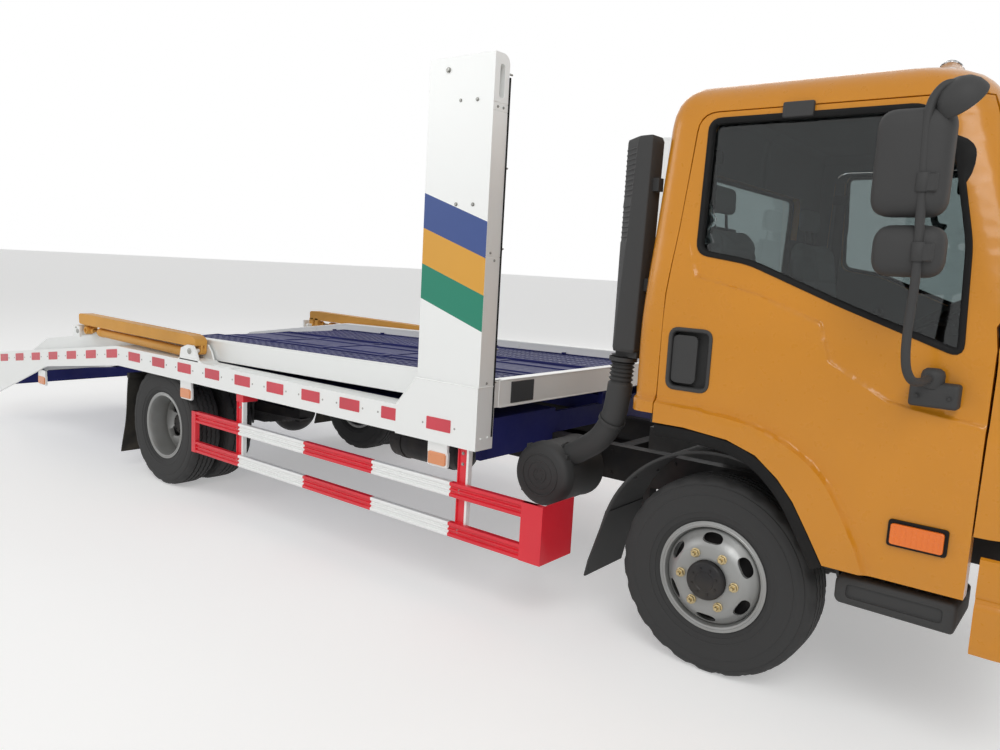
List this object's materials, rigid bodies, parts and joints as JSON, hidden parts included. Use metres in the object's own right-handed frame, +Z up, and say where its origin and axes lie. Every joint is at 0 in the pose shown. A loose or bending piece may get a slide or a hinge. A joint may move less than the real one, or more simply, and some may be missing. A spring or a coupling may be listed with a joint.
{
  "type": "car carrier truck",
  "caption": "Light forward-control car carrier with a two-car body: fixed bed with sloped tail, slide-out ramps, upper deck on lift arms, front columns, tilt cab.",
  "frame": {"origin": "on the ground under the middle of the truck's bounding box", "axes": "+X forward, +Y to the truck's left, +Z up"},
  "size_m": [7.92, 2.47, 2.52],
  "materials": {
    "cab_paint": "gloss amber yellow paint",
    "arm_paint": "satin yellow-orange paint",
    "white_paint": "gloss white paint",
    "deck_blue": "satin dark blue paint",
    "guard_red": "gloss red paint with white lengths",
    "frame_black": "satin black chassis paint",
    "black_plastic": "textured black plastic",
    "black_rubber": "black rubber",
    "tyre": "black tyre rubber",
    "wheel_silver": "silver wheel paint",
    "engine_grey": "dull grey iron",
    "rod_chrome": "polished hard chrome",
    "clear_glass": "faintly tinted glass",
    "lamp": "clear and amber lamp plastic",
    "marker": "amber marker lens",
    "seat_cloth": "grey woven cloth",
    "dash_plastic": "dark grey plastic",
    "tank_metal": "dull metal tank"
  },
  "bodies": {
    "chassis": {"chassis_frame": "frame_black", "engine": "engine_grey", "axles": "frame_black", "fuel_tank": "tank_metal", "bumper": "cab_paint", "mudguards": "black_rubber", "air_cleaner": "black_plastic", "bed_frame": "deck_blue", "bed_beams": "white_paint", "columns": "white_paint", "side_guards": "guard_red", "bed_lamps": "marker"},
    "cab": {"cab_roof": "cab_paint", "cab_back": "cab_paint", "cab_front": "cab_paint", "cab_floor": "black_plastic", "cab_glass": "clear_glass", "cab_lamps": "lamp", "seats": "seat_cloth", "dashboard": "dash_plastic", "intake_stack": "black_plastic"},
    "steering_wheel": {"steering_wheel": "black_plastic"},
    "right_door": {"right_door": "cab_paint", "right_door_glass": "clear_glass", "right_door_fittings": "black_plastic"},
    "left_door": {"left_door": "cab_paint", "left_door_glass": "clear_glass", "left_door_fittings": "black_plastic"},
    "right_knuckle": {"right_knuckle": "frame_black"},
    "left_knuckle": {"left_knuckle": "frame_black"},
    "front_right_wheel": {"front_right_tyre": "tyre", "front_right_rim": "wheel_silver"},
    "front_left_wheel": {"front_left_tyre": "tyre", "front_left_rim": "wheel_silver"},
    "rear_right_wheels": {"rear_right_tyres": "tyre", "rear_right_rims": "wheel_silver"},
    "rear_left_wheels": {"rear_left_tyres": "tyre", "rear_left_rims": "wheel_silver"},
    "upper_deck": {"deck_frame": "white_paint", "deck_floor": "deck_blue"},
    "right_arm": {"right_arm": "arm_paint"},
    "left_arm": {"left_arm": "arm_paint"},
    "right_barrel": {"right_barrel": "arm_paint"},
    "left_barrel": {"left_barrel": "arm_paint"},
    "right_rod": {"right_rod": "rod_chrome"},
    "left_rod": {"left_rod": "rod_chrome"},
    "ramps": {"rear_ramps": "white_paint"}
  },
  "joints": [
    {"name": "cab_tilt", "type": "hinge", "parent": "chassis", "child": "cab", "pos_m": [3.855, 0, 0.75], "axis": [0, -1, 0], "range_deg": [-42, 0]},
    {"name": "right_door_hinge", "type": "hinge", "parent": "cab", "child": "right_door", "pos_m": [3.735, -0.985, 1.4], "axis": [0, 0, 1], "range_deg": [0, 65]},
    {"name": "left_door_hinge", "type": "hinge", "parent": "cab", "child": "left_door", "pos_m": [3.735, 0.985, 1.4], "axis": [0, 0, -1], "range_deg": [0, 65]},
    {"name": "right_steer", "type": "hinge", "parent": "chassis", "child": "right_knuckle", "pos_m": [2.86, -0.69, 0.4], "axis": [0, 0, 1], "range_deg": [-28, 28]},
    {"name": "left_steer", "type": "hinge", "parent": "chassis", "child": "left_knuckle", "pos_m": [2.86, 0.69, 0.4], "axis": [0, 0, 1], "range_deg": [-28, 28]},
    {"name": "steering_wheel_turn", "type": "hinge", "parent": "cab", "child": "steering_wheel", "pos_m": [3.33, 0.56, 1.47], "axis": [-0.5299, 0, 0.848], "range_deg": [-420, 420]},
    {"name": "front_right_wheel_spin", "type": "hinge", "parent": "right_knuckle", "child": "front_right_wheel", "pos_m": [2.86, -0.805, 0.4], "axis": [0, 1, 0], "continuous": true},
    {"name": "front_left_wheel_spin", "type": "hinge", "parent": "left_knuckle", "child": "front_left_wheel", "pos_m": [2.86, 0.805, 0.4], "axis": [0, 1, 0], "continuous": true},
    {"name": "rear_right_wheels_spin", "type": "hinge", "parent": "chassis", "child": "rear_right_wheels", "pos_m": [-0.955, -0.85, 0.4], "axis": [0, 1, 0], "continuous": true},
    {"name": "rear_left_wheels_spin", "type": "hinge", "parent": "chassis", "child": "rear_left_wheels", "pos_m": [-0.955, 0.85, 0.4], "axis": [0, 1, 0], "continuous": true},
    {"name": "arm_lift", "type": "hinge", "parent": "chassis", "child": "right_arm", "pos_m": [-0.54, -1.06, 0.948], "axis": [0, 1, 0], "range_deg": [0, 68]},
    {"name": "left_arm_lift", "type": "hinge", "parent": "chassis", "child": "left_arm", "pos_m": [-0.54, 1.06, 0.948], "axis": [0, 1, 0], "range_deg": [0, 68]},
    {"name": "deck_level", "type": "hinge", "parent": "right_arm", "child": "upper_deck", "pos_m": [-2.05, -1.06, 0.936], "axis": [0, -1, 0], "range_deg": [0, 78.93]},
    {"name": "right_barrel_swing", "type": "hinge", "parent": "chassis", "child": "right_barrel", "pos_m": [-0.574, -1.06, 0.923], "axis": [0, 1, 0], "range_deg": [0, 68.83]},
    {"name": "right_rod_slide", "type": "slide", "parent": "right_barrel", "child": "right_rod", "axis": [-0.9998, 0, 0.0178], "range_m": [0, 0.0433]},
    {"name": "left_barrel_swing", "type": "hinge", "parent": "chassis", "child": "left_barrel", "pos_m": [-0.574, 1.06, 0.923], "axis": [0, 1, 0], "range_deg": [0, 68.83]},
    {"name": "left_rod_slide", "type": "slide", "parent": "left_barrel", "child": "left_rod", "axis": [-0.9998, 0, 0.0178], "range_m": [0, 0.0433]},
    {"name": "ramp_slide", "type": "slide", "parent": "chassis", "child": "ramps", "axis": [-0.992, 0, -0.126], "range_m": [0, 0.95]}
  ],
  "couplings": [
    {"joint": "left_steer", "follows": "right_steer", "ratio": 1},
    {"joint": "steering_wheel_turn", "follows": "right_steer", "ratio": 15},
    {"joint": "left_arm_lift", "follows": "arm_lift", "ratio": 1},
    {"joint": "deck_level", "follows": "arm_lift", "ratio": 1.16},
    {"joint": "right_barrel_swing", "follows": "arm_lift", "ratio": 1.0115},
    {"joint": "right_rod_slide", "follows": "arm_lift", "m_per_rad": 0.0363},
    {"joint": "left_barrel_swing", "follows": "arm_lift", "ratio": 1.0115},
    {"joint": "left_rod_slide", "follows": "arm_lift", "m_per_rad": 0.0363}
  ]
}
